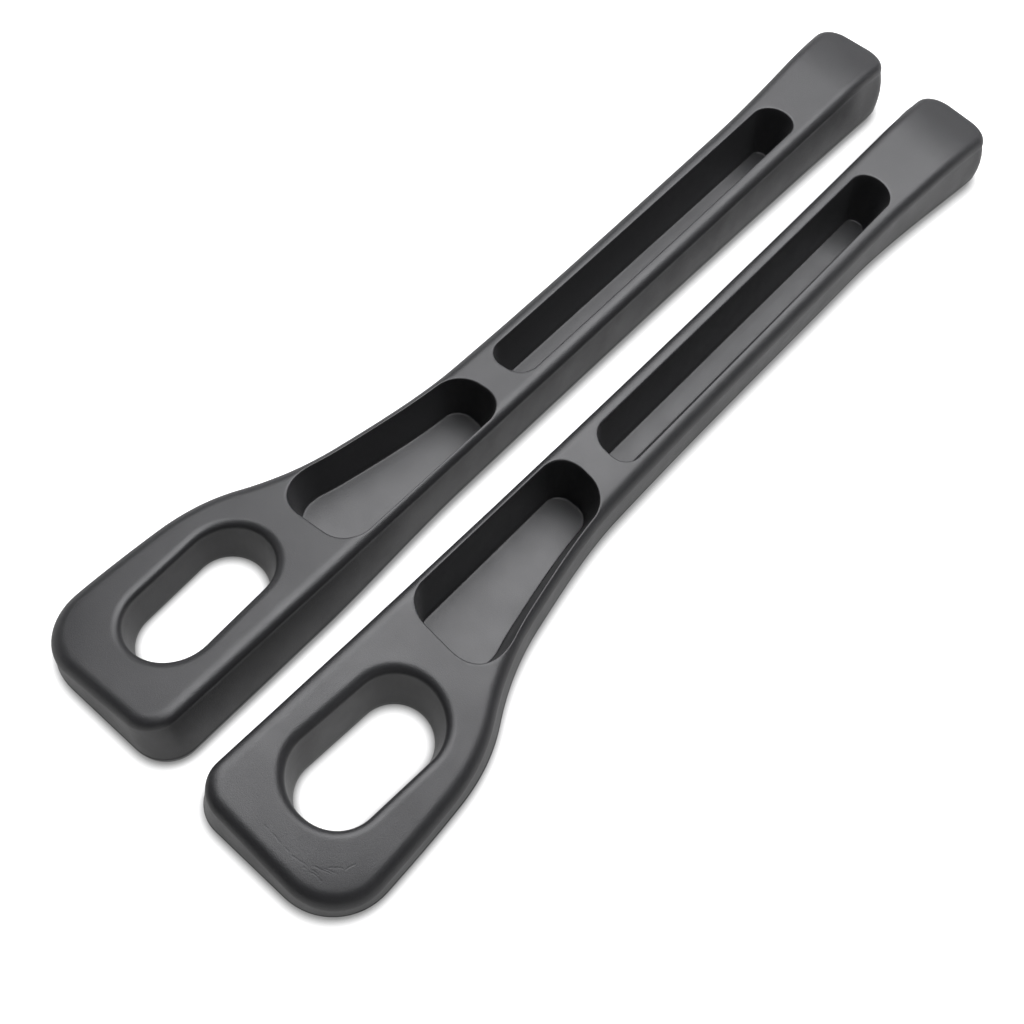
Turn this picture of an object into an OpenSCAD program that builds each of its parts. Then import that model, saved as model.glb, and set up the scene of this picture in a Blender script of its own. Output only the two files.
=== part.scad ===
// Car seat gap fillers: a left and a right one, lying side by side as they are unpacked.
// Each one is a single moulded foam bar. It fills the gap between a front seat and the
// centre console, and the belt buckle comes up through the hole in its wide head.
//
// Each bar is drawn in its own coordinates before it is laid out: u runs along it from the
// head end, v runs across it from its straight side to its flared side, and z is up.
// Its skin, hole, pocket and slot are lofts through rings of points at several heights.

/* [Bar] */
// Length of a bar over its head end and its tail end
length = 460; // [430:2:480]
// Height of the straight side halfway along
height = 28.5; // [27:0.5:38]
// How much higher the two ends are than the middle
end_rise = 4.4; // [0:0.1:5]
// Fall of the top towards the flared side, in mm for each mm across, halfway along
top_fall = 0.16; // [0.05:0.01:0.22]
// How much that fall grows at the head end and shrinks at the tail end
fall_twist = 0.11; // [0:0.01:0.14]
// Radius that rounds the top edge
edge_r = 4.8; // [2:0.1:5]
// How far the top droops at the tail end
tail_droop = 7.5; // [0:0.5:9]
// Length of the tail that droops
droop_len = 45; // [30:1:60]

/* [Outline of the top] */
// Width across the head
head_w = 63.3; // [56:0.1:66]
// Width across the long straight body
body_w = 31.9; // [28.5:0.1:34]
// Width across the tail end
tail_w = 37.3; // [30:0.1:40]
// Length of the head before its flared side turns in
head_len = 57; // [54:1:60]
// Where the flared side comes in most steeply
waist_u = 88; // [84:1:92]
// Where the flared side reaches the straight body
body_u = 180; // [176:1:196]
// Where the flared side starts to widen towards the tail
tail_u = 351; // [330:1:370]
// How far the straight side curves in halfway along
straight_bow = 1; // [0:0.1:2]
// Corner radius at the head end on the straight side
head_r = 11.5; // [8:0.5:12]
// Corner radius at the head end on the flared side
head_flare_r = 21.5; // [12:0.5:24]
// Corner radius at the tail end on the straight side
tail_r = 12.8; // [7:0.1:14]
// Corner radius at the tail end on the flared side
tail_flare_r = 12.2; // [6:0.1:14]

/* [Side walls] */
// Height of the mould's parting line above the floor
parting_z = 4.5; // [3:0.5:10]
// How far the straight side spreads down to the parting line at the head
head_spread = 3.8; // [1:0.1:6]
// How far the straight side spreads down to the parting line at the slim body
body_spread = 1.4; // [0.5:0.1:4]
// How far the straight side spreads down to the parting line at the tail
tail_spread = 5.3; // [1:0.1:7]
// How far the flared side spreads down to the parting line
flare_spread = 0.8; // [0.5:0.1:4]
// How far the flared side spreads down to the parting line at the tail
flare_tail_spread = 3.9; // [1:0.1:6]
// How much nearer the tail the flared side comes in at the parting line than at the top
foot_lag = 3.1; // [0:0.1:8]
// How far the head's end wall spreads down to the parting line
head_end_spread = 0.1; // [0:0.1:3]
// How far the tail's end wall spreads down to the parting line
tail_end_spread = 1.5; // [0.5:0.1:8]
// Corner radius at the parting line at the head end
foot_head_r = 13.5; // [9:0.5:18]
// Corner radius at the parting line at the head end on the flared side
foot_flare_r = 23; // [14:0.5:28]
// Corner radius at the parting line at the tail end
foot_tail_r = 13.7; // [6:0.1:16]
// Corner radius at the parting line at the tail end on the flared side
foot_tail_flare_r = 11.6; // [6:0.1:15]
// How far the foot comes back in below the parting line
under_cut = 0.6; // [0.3:0.1:1.5]

/* [Buckle hole] */
// Where the middle of the hole is along the bar
hole_u = 48.6; // [48:0.2:52]
// Where the middle of the hole is across the bar
hole_v = 30; // [28:0.1:31]
// Length of the hole's straight sides
hole_flat = 27.4; // [20:0.1:32]
// Radius of the hole's round ends at the floor
hole_r = 13.9; // [10:0.1:15]
// How much wider the radius is at the top
hole_draft = 2.3; // [0.5:0.1:3]
// Radius that rounds the hole's top edge
hole_edge_r = 3.5; // [1:0.1:4]
// Turn of the hole from the line of the bar, in degrees
hole_turn = 3; // [0:0.1:4]

/* [Pocket and slot] */
// Thickness of foam under the pocket and the slot
floor_t = 3; // [3:0.5:8]
// Radius that rounds the edge of their floors
floor_r = 1.5; // [0.5:0.1:2]
// How much the end wall of each slopes in at its tail end, down to its floor
tail_draft = 0.8; // [0.5:0.1:5]
// Where the tapered pocket starts along the bar
pocket_u = 92.5; // [90:0.5:96]
// Length of the tapered pocket
pocket_len = 86.5; // [70:0.5:88]
// Foam left round the tapered pocket, and not on its flared side
pocket_wall = 3.7; // [3:0.1:6]
// Foam left between the tapered pocket and the flared side
pocket_flare_wall = 3.2; // [2.5:0.1:6]
// Corner radius of the tapered pocket
pocket_r = 11; // [8:0.5:12]
// Corner radius of the tapered pocket at its head end on the flared side
pocket_flare_r = 20; // [11:0.5:21]
// How much the tapered pocket narrows on each side down to its floor
pocket_draft = 3.8; // [1:0.1:5]
// Width of the bridge between the tapered pocket and the long slot
bridge_w = 13; // [8:0.1:20]
// Length of the long slot
slot_len = 193.5; // [150:0.5:195]
// Width of the long slot
slot_w = 18.7; // [16:0.1:18.8]
// Foam left between the long slot and the straight side
slot_wall = 6.9; // [5:0.1:7]
// Corner radius of the long slot at its head end
slot_r = 8; // [6.5:0.1:8]
// How much the long slot narrows on each side down to its floor
slot_draft = 4.6; // [1:0.1:5]

/* [Layout] */
// Gap between the straight sides of the two bars, halfway along
pair_gap = 20.5; // [16:0.1:60]
// Turn of each bar away from the other, in degrees
pair_turn = 0.2; // [0:0.1:2]
// How far the left bar lies ahead of the right one
pair_shift = 1.5; // [0:0.1:20]

/* [Hidden] */

foam = "#3d3e41";
corner_steps = 7;
bar_steps = 52;
edge_steps = 5;
floor_steps = 3;
hole_steps = 18;
step_len = 8; // distance between points along the pocket and the slot
over = 8; // how far a cutter stands clear of the foam that it cuts

function square_of(x) = x * x;

// Height of the top above the floor, where w is -1 at the head end and 1 at the tail end.
function top_z(u, v) =
    let (
        w = 2 * u / length - 1,
        tail = max(0, 1 - (length - tail_end_spread - u) / droop_len)
    )
    height + end_rise * square_of(w) - (top_fall - fall_twist * w) * v
        - tail_droop * square_of(tail);

// The value at u of the cubic curves that join stations of [u, value, slope].
function smooth(s, u, i = 0) =
    u > s[i + 1][0] && i < len(s) - 2
        ? smooth(s, u, i + 1)
        : let (w = s[i + 1][0] - s[i][0], t = (u - s[i][0]) / w)
            (1 + 2 * t) * square_of(1 - t) * s[i][1] + t * square_of(1 - t) * w * s[i][2]
            + square_of(t) * (3 - 2 * t) * s[i + 1][1] - square_of(t) * (1 - t) * w * s[i + 1][2];

// The flared side of the top.
flare_drop = head_w - body_w;
waist_len = body_u - waist_u;
flare = [
    [0, head_w, 0],
    [head_len, head_w - 1.5, -0.07],
    [waist_u, body_w + 0.66 * flare_drop, -1.7 * flare_drop / waist_len],
    [waist_u + 0.4 * waist_len, body_w + 0.23 * flare_drop, -0.54 * flare_drop / waist_len],
    [body_u, body_w, -0.02],
    [tail_u, body_w, 0],
    [length, tail_w, 0.06],
];

// How far each side spreads outwards from the top down to the parting line.
straight_foot = [
    [0, head_spread, 0],
    [head_len + 15, head_spread, 0],
    [body_u - 30, body_spread, 0],
    [length, tail_spread, 0.03],
];
flared_foot = [
    [0, flare_spread, 0],
    [tail_u, flare_spread, 0],
    [length, flare_tail_spread, 0.02],
];

// The flared side moved in by d, square to its own line.
function flare_in(u, d) =
    let (rise = smooth(flare, u + 0.5) - smooth(flare, u - 0.5))
    smooth(flare, u) - d * norm([1, rise]);

// How far a rounded corner of radius r draws a side in, at a distance d from the end.
function corner_drop(r, d) = d >= r ? 0 : r - sqrt(max(0, r * r - square_of(r - d)));

// Places along a side from u0 to u1, close together round its corners r0 and r1.
function places(u0, u1, r0, r1, steps) = [
    for (i = [0 : corner_steps]) u0 + r0 * (1 - cos(90 * i / corner_steps)),
    for (i = [1 : steps - 1]) u0 + r0 + (u1 - r1 - u0 - r0) * i / steps,
    for (i = [0 : corner_steps]) u1 - r1 * (1 - sin(90 * i / corner_steps)),
];

// A closed ring from u0 to u1 between the curves near(u) and far(u): along the straight side
// to the tail, then back along the flared side. Its corner radii r are in that order too.
function ring(u0, u1, near, far, r, steps) = [
    for (u = places(u0, u1, r[0], r[1], steps))
        [u, near(u) + corner_drop(r[0], u - u0) + corner_drop(r[1], u1 - u)],
    let (back = places(u0, u1, r[3], r[2], steps))
        for (i = [len(back) - 1 : -1 : 0])
            let (u = back[i])
                [u, far(u) - corner_drop(r[3], u - u0) - corner_drop(r[2], u1 - u)],
];

function less(radii, d) = [for (r = radii) max(0.5, r - d)];
function at_height(points, z) = [for (p = points) [p[0], p[1], z]];
function below_top(points, drop) = [for (p = points) [p[0], p[1], top_z(p[0], p[1]) - drop]];

// A closed solid through rings of equally many points, from the lowest ring to the highest.
module loft(rings) {
    n = len(rings[0]);
    top = (len(rings) - 1) * n;
    half = n / 2;
    walls = [
        for (k = [0 : len(rings) - 2], i = [0 : n - 1])
            let (j = (i + 1) % n, a = k * n, b = a + n)
                each [[a + i, b + j, a + j], [a + i, b + i, b + j]]
    ];
    caps = [
        for (i = [0 : half - 2])
            let (j = i + 1, m = n - 1 - i, k = m - 1)
                each [
                    [i, j, k],
                    [i, k, m],
                    [top + i, top + k, top + j],
                    [top + i, top + m, top + k],
                ]
    ];
    polyhedron(points = [for (r = rings) each r], faces = concat(walls, caps), convexity = 6);
}

top_radii = [head_r, tail_r, tail_flare_r, head_flare_r];
foot_radii = [foot_head_r, foot_tail_r, foot_tail_flare_r, foot_flare_r];

// How far the straight side of the top stands in at u.
function bow_at(u) = straight_bow * (1 - square_of(2 * u / length - 1));

// The outline of the top moved in by d, and the outline of the foot moved in by d.
function top_ring(d) = ring(
    head_end_spread + d,
    length - tail_end_spread - d,
    function (u) d + bow_at(u),
    function (u) flare_in(u, d),
    less(top_radii, d),
    bar_steps
);
function foot_ring(d) = ring(
    d,
    length - d,
    function (u) d - smooth(straight_foot, u),
    function (u) flare_in(u - foot_lag, d) + smooth(flared_foot, u),
    less(foot_radii, d),
    bar_steps
);

module bar() {
    rounded_edge = [
        for (i = [0 : edge_steps])
            let (a = 90 * i / edge_steps)
                below_top(top_ring(edge_r * (1 - cos(a))), edge_r * (1 - sin(a)))
    ];
    loft(concat(
        [at_height(foot_ring(under_cut), 0)],
        [at_height(foot_ring(0), parting_z)],
        rounded_edge
    ));
}

// The outline of the buckle hole with end radius r, from its head end round to its tail end.
function hole_ring(r) =
    let (
        turns = [for (i = [0 : hole_steps]) 180 * i / hole_steps],
        head = [for (a = turns) [-hole_flat / 2 - r * sin(a), r * cos(a)]],
        tail = [for (a = turns) [hole_flat / 2 + r * sin(a), -r * cos(a)]],
        start = hole_steps / 2,
        all = concat(head, tail),
        n = len(all)
    )
    [for (i = [0 : n - 1])
        let (p = all[(i + start) % n])
            [
                hole_u + p[0] * cos(hole_turn) - p[1] * sin(hole_turn),
                hole_v + p[0] * sin(hole_turn) + p[1] * cos(hole_turn),
            ]];

// The buckle hole, with its drafted wall and its rounded top edge.
module buckle_hole() {
    top_r = hole_r + hole_draft;
    floor_draft = hole_draft * over / height;
    edge_angles = [0, 20, 40, 60, 75];
    rounded_edge = [
        for (a = edge_angles)
            below_top(hole_ring(top_r + hole_edge_r * (1 - cos(a))), hole_edge_r * (1 - sin(a)))
    ];
    loft(concat(
        [at_height(hole_ring(hole_r - floor_draft), -over)],
        rounded_edge,
        [below_top(hole_ring(top_r + hole_edge_r), -over)]
    ));
}

// A blind pocket from u0 to u1 between near(u, d) and far(u, d), which are its sides moved
// in by d. Down to its floor, whose edge is rounded, it narrows by draft all round but for
// its tail end, which has a draft of its own.
module pocket(u0, u1, near, far, radii, draft) {
    steps = ceil((u1 - u0) / step_len);
    function inset(d, tail_d) = ring(
        u0 + d,
        u1 - tail_d,
        function (u) near(u, d),
        function (u) far(u, d),
        less(radii, d),
        steps
    );
    rounded_floor = [
        for (i = [0 : floor_steps])
            let (a = 90 * i / floor_steps, d = floor_r * (1 - sin(a)))
                at_height(inset(draft + d, tail_draft + d), floor_t + floor_r * (1 - cos(a)))
    ];
    loft(concat(
        rounded_floor,
        [below_top(inset(0, 0), 0)],
        [below_top(inset(0, 0), -over)]
    ));
}

pocket_end_u = pocket_u + pocket_len;

module tapered_pocket() {
    pocket(
        pocket_u,
        pocket_end_u,
        function (u, d) pocket_wall + d,
        function (u, d) flare_in(u, pocket_flare_wall + d),
        [pocket_r, pocket_r, pocket_r, pocket_flare_r],
        pocket_draft
    );
}

module long_slot() {
    round_r = slot_w / 2 - 0.3;
    slot_u = pocket_end_u + bridge_w;
    pocket(
        slot_u,
        slot_u + slot_len,
        function (u, d) slot_wall + d,
        function (u, d) slot_wall + slot_w - d,
        [slot_r, round_r, round_r, slot_r],
        slot_draft
    );
}

module gap_filler() {
    difference() {
        bar();
        buckle_hole();
        tapered_pocket();
        long_slot();
    }
}

// Puts a bar on the left of the middle line, with its straight side facing it.
module laid_out(shift) {
    translate([shift, pair_gap / 2, 0])
        rotate(pair_turn)
            translate([-length / 2, 0, 0])
                children();
}

module left_gap_filler() {
    color(foam)
        laid_out(pair_shift / 2)
            gap_filler();
}

module right_gap_filler() {
    color(foam)
        mirror([0, 1, 0])
            laid_out(-pair_shift / 2)
                gap_filler();
}

left_gap_filler();
right_gap_filler();
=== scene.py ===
"""Car seat gap fillers: a mirror-image pair of moulded foam bars on a studio floor."""

from types import SimpleNamespace

import bpy
import numpy as np
from bpy.props import FloatProperty, FloatVectorProperty, PointerProperty
from mathutils import Matrix, Vector
from mathutils.geometry import delaunay_2d_cdt


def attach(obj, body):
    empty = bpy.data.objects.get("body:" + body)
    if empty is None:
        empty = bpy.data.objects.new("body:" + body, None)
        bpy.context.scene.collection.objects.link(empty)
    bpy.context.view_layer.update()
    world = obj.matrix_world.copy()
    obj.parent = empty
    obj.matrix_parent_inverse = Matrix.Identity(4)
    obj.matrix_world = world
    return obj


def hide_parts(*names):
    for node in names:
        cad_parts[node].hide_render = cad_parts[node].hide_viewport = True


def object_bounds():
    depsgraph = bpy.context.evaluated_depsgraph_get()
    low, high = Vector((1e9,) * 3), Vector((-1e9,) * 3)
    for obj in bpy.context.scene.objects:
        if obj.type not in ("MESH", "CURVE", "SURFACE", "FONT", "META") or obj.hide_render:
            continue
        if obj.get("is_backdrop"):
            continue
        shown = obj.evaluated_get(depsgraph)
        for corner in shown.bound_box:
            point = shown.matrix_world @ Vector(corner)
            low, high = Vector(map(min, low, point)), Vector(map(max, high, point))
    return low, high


bl_info = {
    "name": "Car Seat Gap Fillers",
    "version": (1, 0, 0),
    "blender": (4, 5, 0),
    "location": "View3D > Sidebar > Gap Fillers",
    "description": "Makes a pair of moulded foam bars that fill the gaps beside car seats",
    "category": "Object",
}

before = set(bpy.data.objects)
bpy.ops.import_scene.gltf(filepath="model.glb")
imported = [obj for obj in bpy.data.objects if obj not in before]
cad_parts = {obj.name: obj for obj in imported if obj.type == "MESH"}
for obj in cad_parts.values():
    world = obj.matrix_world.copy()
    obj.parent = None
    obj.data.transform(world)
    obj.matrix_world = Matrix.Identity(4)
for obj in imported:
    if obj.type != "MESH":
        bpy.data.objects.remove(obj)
CAD_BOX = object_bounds()

MM_IN_M = 1000

# Each bar is made in its own coordinates, in millimetres, before it is laid out: u runs along
# it from the head end, v runs across it from its straight side to its flared side.

# The curve of the flared side, and its slope at each station. The shoulder's fall is a length.
# The waist, and the point past it, lie outside the body's side by a share of the drop in width
# from head to body. Their slopes are in drops per run, where the run goes from waist to body.
SHOULDER_FALL, SHOULDER_SLOPE = 1.5, -0.07
WAIST_SHARE, WAIST_SLOPE = 0.66, -1.7
PAST_WAIST_RUN, PAST_WAIST_SHARE, PAST_WAIST_SLOPE = 0.4, 0.23, -0.54
BODY_SLOPE, TAIL_SLOPE = -0.02, 0.06

# The straight side's foot narrows from this far past the head to this far short of the body.
FOOT_PAST_HEAD, FOOT_SHORT_OF_BODY = 15, 30
STRAIGHT_FOOT_SLOPE, FLARED_FOOT_SLOPE = 0.03, 0.02

# The least corner radius of an outline.
LEAST_R = 0.5
# How far the corners at the slot's tail end are short of half its width.
SLOT_END_FLAT = 0.3
# How far the flat middle of a floor lies inside its rounded edge.
FLOOR_MARGIN = 0.7
# The length over which the tail's swell grows to its full amount.
SWELL_RUN = 16

# How finely the skin is cut: steps round a corner, along a bar's side and along the hole's side,
# the length of a step along a pocket's or slot's side, and the rings up each wall, as shares of
# its height.
CORNER_STEPS = 16
BAR_STEPS = 220
HOLE_STEPS = 13
OPENING_STEP = 2.5
WALL_SHARES = (0.06, 0.15, 0.3, 0.5, 0.7, 0.85, 0.95)
HOLE_SHARES = (0.1, 0.25, 0.45, 0.65, 0.85)
OPENING_SHARES = (0.1, 0.3, 0.5, 0.7, 0.9)

# Steps of a quarter turn round each rounded edge. The bar's top edge has rings only part of the
# way: the points on the top carry on from there.
EDGE_TURN, EDGE_RINGS = 15, 9
HOLE_TURN = 12
FLOOR_TURN = 6
RIM_TURN = 3

# Rings of the outer wall: round its bottom edge, as (inset past the undercut, height), and round
# the ridge at the parting line, as (inset, height past that line).
BOTTOM_RINGS = ((1.0, 0), (0.45, 0.12), (0.12, 0.45), (0, 1.0))
BELOW_RIDGE = ((0.2, -0.9), (0.05, -0.4))
ABOVE_RIDGE = (0.03, 0.4)
RIDGE_HALF_HEIGHT = 0.1

# Rings of the buckle hole round its bottom edge, as (growth of its radius, height).
HOLE_BOTTOM_RINGS = ((0.9, 0), (0.3, 0.25), (0, 0.9))

# Rows of points on the top, by their distance from its outline, from the hole and from the rims.
EDGE_ROWS = (2.6, 3.2, 4.0, 4.8, 5.7)
HOLE_ROWS = (0.6, 1.6)
RIM_ROWS = (0.5, 1.5)

# Spacing of the points along a row and over the rest of the top, how clear of the edges they
# stay, how close two of them may lie, and how close two are taken as one.
ROW_STEP = 1.6
TOP_STEP = 3.5
EDGE_CLEARANCE = 0.4
LEAST_STEP = 0.5
SAME_POINT = 1e-6

# From here on lengths are in metres.

# The skin's slow waves start at the first of these heights and are full from the second up.
WAVES_FROM, WAVES_FULL = 0.0015, 0.008

# The node, the side and the seed of each bar.
BARS = (("left_gap_filler", 1.0, 3.0), ("right_gap_filler", -1.0, 8.0))

# The foam's noises, as (scale, detail, roughness). The grain takes its scale from its size.
CLOUD = (14.0, 3.0, 0.5)
GRAIN = (4.0, 0.65)
GLOSS = (60.0, 5.0, 0.6)
WANDER = (220.0, 1.0, 0.5)

# The span of cloud and grain together that goes from the foam's colour to its paler one, the span
# of the gloss noise that goes over the range of its roughness, and how much the foam mirrors.
TONE_SPAN = (0.7, 1.3)
GLOSS_SPAN = (0.3, 0.7)
ROUGHNESS = (0.36, 0.46)
SPECULAR_LEVEL = 0.62

# The depth of the dents in the foam, and how strong its grain and its creases are.
DENT_DEPTH = 0.0002
GRAIN_STRENGTH = 0.3
CREASE_STRENGTH = 0.18

# Ends of the creases on the top of the right bar's head, their width, and how far they wander.
CREASES = (
    ((-0.2227, -0.0343), (-0.2230, -0.0450)),
    ((-0.2229, -0.0466), (-0.2214, -0.0560)),
    ((-0.2231, -0.0514), (-0.2217, -0.0577)),
    ((-0.2209, -0.0527), (-0.2187, -0.0583)),
    ((-0.2189, -0.0562), (-0.2172, -0.0598)),
    ((-0.2178, -0.0566), (-0.2146, -0.0596)),
    ((-0.2139, -0.0606), (-0.2112, -0.0618)),
)
CREASE_WIDTH = 0.0005
CREASE_WANDER = 0.0018

# The floor reaches this far each way, and lies this far below the undersides.
FLOOR_REACH = 4.0
FLOOR_GAP = 0.0002

# The floor: its grey as the foam mirrors it, the share of open sky at which the painted shadow
# that the camera sees is darkest, how dark it is there, and how many rays it is found with.
# In the foam's gloss the floor is a painted reflection: mirrored in this dimmer grey, with a glow.
MIRRORED_GREY = 0.2
SHADOW_SKY = 0.5
SHADOW_LEVEL = 0.25
SHADOW_RAYS = 16

# The lamps, all level and facing down: the setting of their power, their size and their centre.
LAMPS = {
    "overhead_softbox": ("key_power", (1.5, 1.7), (0.5, 0.4, 1.0)),
    "overhead_lamp": ("middle_power", (1.3, 0.8), (0.5, -0.1, 0.99)),
    "far_card": ("far_power", (1.6, 1.2), (3.0, 0.5, 1.0)),
}
LAMP_COLOUR = (0.98, 0.98, 1.0)

# The camera looks down on the heads from their end, with the tails at the top right.
CAMERA_LENS, CAMERA_SENSOR = 45.97, 36.0
CAMERA_NEAR = 0.01
CAMERA_PLACE = (
    (0.6423050, 0.6234191, -0.4458619, -0.2933120),
    (-0.7546474, 0.6160890, -0.2257025, -0.1232820),
    (0.1339834, 0.4814384, 0.8661787, 0.4326400),
    (0, 0, 0, 1),
)


# ---------------------------------------------------------------- sizes and colours


def length(name, millimetres, description):
    """A length that a user can change, with its default in millimetres."""
    return FloatProperty(
        name=name,
        description=description,
        default=millimetres / MM_IN_M,
        min=0.0,
        unit="LENGTH",
        precision=4,
    )


def power(name, watts, description):
    """The power of a lamp."""
    return FloatProperty(name=name, description=description, default=watts, min=0.0, unit="POWER")


class BarShape(bpy.types.PropertyGroup):
    """The outline, the top and the side walls of a bar."""

    length: length("Length", 460, "Length of a bar over its two ends")
    height: length("Height", 28.5, "Height of the straight side halfway along")
    end_rise: length("End rise", 4.4, "How much higher the two ends are than the middle")
    top_fall: FloatProperty(
        name="Top fall", description="Fall of the top towards the flared side", default=0.16
    )
    fall_twist: FloatProperty(
        name="Fall twist", description="How much that fall grows at the head end", default=0.11
    )
    edge_r: length("Edge radius", 4.8, "Radius that rounds the top edge")
    tail_droop: length("Tail droop", 7.5, "How far the top droops at the tail end")
    droop_len: length("Droop length", 45, "Length of the tail that droops")
    corner_fall: length("Corner fall", 1.0, "How far the top sags at the head's flared corner")
    corner_start: length("Corner start", 28, "Where that sag starts, as v less u")
    corner_reach: length("Corner reach", 23, "How far the sag runs from there to the corner")
    head_w: length("Head width", 63.3, "Width across the head")
    body_w: length("Body width", 31.9, "Width across the long straight body")
    tail_w: length("Tail width", 37.3, "Width across the tail end")
    head_len: length("Head length", 57, "Length of the head before its flared side turns in")
    waist_u: length("Waist", 88, "Where the flared side comes in most steeply")
    body_u: length("Body start", 180, "Where the flared side reaches the straight body")
    tail_u: length("Tail start", 351, "Where the flared side starts to widen to the tail")
    straight_bow: length("Straight bow", 1, "How far the straight side curves in halfway")
    head_r: length("Head corner", 11.5, "Corner radius at the head on the straight side")
    head_flare_r: length("Head flared corner", 21.5, "Corner radius at the head, flared side")
    tail_r: length("Tail corner", 12.8, "Corner radius at the tail on the straight side")
    tail_flare_r: length("Tail flared corner", 12.2, "Corner radius at the tail, flared side")
    parting_z: length("Parting height", 4.5, "Height of the mould's parting line")
    head_spread: length("Head spread", 3.8, "Spread of the straight side's foot at the head")
    body_spread: length("Body spread", 1.4, "Spread of the straight side's foot at the body")
    tail_spread: length("Tail spread", 5.3, "Spread of the straight side's foot at the tail")
    flare_spread: length("Flared spread", 0.8, "Spread of the flared side's foot")
    flare_tail_spread: length("Flared tail spread", 3.9, "Spread of the flared side's foot, tail")
    foot_lag: length("Foot lag", 3.1, "How much nearer the tail the foot of the flare comes in")
    head_end_spread: length("Head end spread", 0.1, "Spread of the foot of the head's end wall")
    tail_end_spread: length("Tail end spread", 1.5, "Spread of the foot of the tail's end wall")
    foot_head_r: length("Foot head corner", 13.5, "Corner radius of the foot at the head")
    foot_flare_r: length("Foot flared corner", 23, "Corner radius of the foot, flared head side")
    foot_tail_r: length("Foot tail corner", 16.0, "Corner radius of the foot at the tail")
    foot_tail_flare_r: length("Foot tail flared corner", 13.5, "The same on the flared side")
    tail_swell: length("Tail swell", 1.3, "How far the tail's end wall swells halfway up")
    swell_len: length("Swell length", 26, "Length of the tail whose wall swells")
    under_cut: length("Under cut", 0.6, "How far the foot comes back in below the parting line")
    flash: length("Parting ridge", 0.15, "How far the parting line stands proud")


class OpeningShape(bpy.types.PropertyGroup):
    """The buckle hole, the tapered pocket and the long slot of a bar."""

    hole_u: length("Hole along", 48.6, "Middle of the buckle hole along the bar")
    hole_v: length("Hole across", 30, "Middle of the buckle hole across the bar")
    hole_flat: length("Hole straight", 27.4, "Length of the hole's straight sides")
    hole_r: length("Hole radius", 13.9, "Radius of the hole's round ends at the floor")
    hole_draft: length("Hole draft", 2.3, "How much wider that radius is at the top")
    hole_edge_r: length("Hole edge", 3.5, "Radius that rounds the hole's top edge")
    hole_turn: FloatProperty(
        name="Hole turn",
        description="Turn of the hole from the line of the bar",
        default=np.radians(3),
        subtype="ANGLE",
    )
    floor_t: length("Floor", 3, "Thickness of foam under the pocket and the slot")
    floor_r: length("Floor edge", 0.7, "Radius that rounds the edge of their floors")
    rim_r: length("Rim edge", 0.6, "Radius that eases their rims")
    tail_draft: length("Tail draft", 0.8, "Slope of the end wall of each at its tail end")
    pocket_u: length("Pocket along", 92.5, "Where the tapered pocket starts along the bar")
    pocket_len: length("Pocket length", 86.5, "Length of the tapered pocket")
    pocket_wall: length("Pocket wall", 3.7, "Foam left round the tapered pocket")
    pocket_flare_wall: length("Pocket flared wall", 3.2, "The same on its flared side")
    pocket_r: length("Pocket corner", 11, "Corner radius of the tapered pocket")
    pocket_flare_r: length("Pocket flared corner", 20, "The same at its flared head corner")
    pocket_draft: length("Pocket draft", 3.8, "How much each side of the pocket slopes in")
    bridge_w: length("Bridge", 13, "Foam between the tapered pocket and the long slot")
    slot_len: length("Slot length", 193.5, "Length of the long slot")
    slot_w: length("Slot width", 18.7, "Width of the long slot")
    slot_wall: length("Slot wall", 6.9, "Foam between the long slot and the straight side")
    slot_r: length("Slot corner", 8, "Corner radius of the long slot at its head end")
    slot_draft: length("Slot draft", 4.6, "How much each side of the slot slopes in")


class PairLayout(bpy.types.PropertyGroup):
    """How the two bars lie beside each other."""

    gap: length("Gap", 20.5, "Gap between the straight sides of the two bars")
    turn: FloatProperty(
        name="Turn",
        description="Turn of each bar away from the other",
        default=np.radians(0.2),
        subtype="ANGLE",
    )
    shift: length("Stagger", 1.5, "How far the left bar lies ahead of the right one")


class FoamFinish(bpy.types.PropertyGroup):
    """The moulded skin of the foam."""

    colour: FloatVectorProperty(
        name="Foam",
        description="Colour of the moulded skin",
        subtype="COLOR",
        size=3,
        default=(0.0205, 0.0205, 0.0218),
    )
    worn_colour: FloatVectorProperty(
        name="Paler foam",
        description="Colour of the skin where it is slightly paler",
        subtype="COLOR",
        size=3,
        default=(0.027, 0.027, 0.0284),
    )
    unevenness: length("Unevenness", 0.07, "Depth of the slow waves in the skin")
    wave_size: length("Wave size", 30, "Distance between those waves")
    grain: length("Grain size", 0.45, "Size of the skin's fine grain")


class StudioLook(bpy.types.PropertyGroup):
    """The floor and the lights."""

    floor_colour: FloatVectorProperty(
        name="Floor",
        description="Colour of the floor as light sees it",
        subtype="COLOR",
        size=3,
        default=(0.8, 0.8, 0.8),
    )
    backdrop_level: FloatProperty(
        name="Backdrop level",
        description="How pale the floor looks to the camera where light falls on it",
        default=0.35,
    )
    backdrop_glow: FloatProperty(
        name="Backdrop glow",
        description="How bright it looks where no light falls on it",
        default=1.05,
    )
    mirrored_glow: FloatProperty(
        name="Mirrored glow",
        description="How bright the floor looks mirrored in the foam where no light falls on it",
        default=0.4,
    )
    shadow_reach: length("Shadow reach", 3.9, "Width of the dark line on the floor at the heads")
    tail_shadow_reach: length("Tail shadow reach", 7.5, "Width of that line at the tails")
    key_power: power("Key light", 31.5, "Power of the large overhead softbox")
    middle_power: power("Middle light", 4.0, "Power of the lamp under its near side")
    far_power: power("Far light", 4.5, "Power of the card past the tails")
    fill_level: FloatProperty(
        name="Fill level", description="Strength of the light from all round", default=0.03
    )


SETTINGS = {
    "gap_filler_bar": BarShape,
    "gap_filler_openings": OpeningShape,
    "gap_filler_layout": PairLayout,
    "gap_filler_foam": FoamFinish,
    "gap_filler_studio": StudioLook,
}


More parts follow.
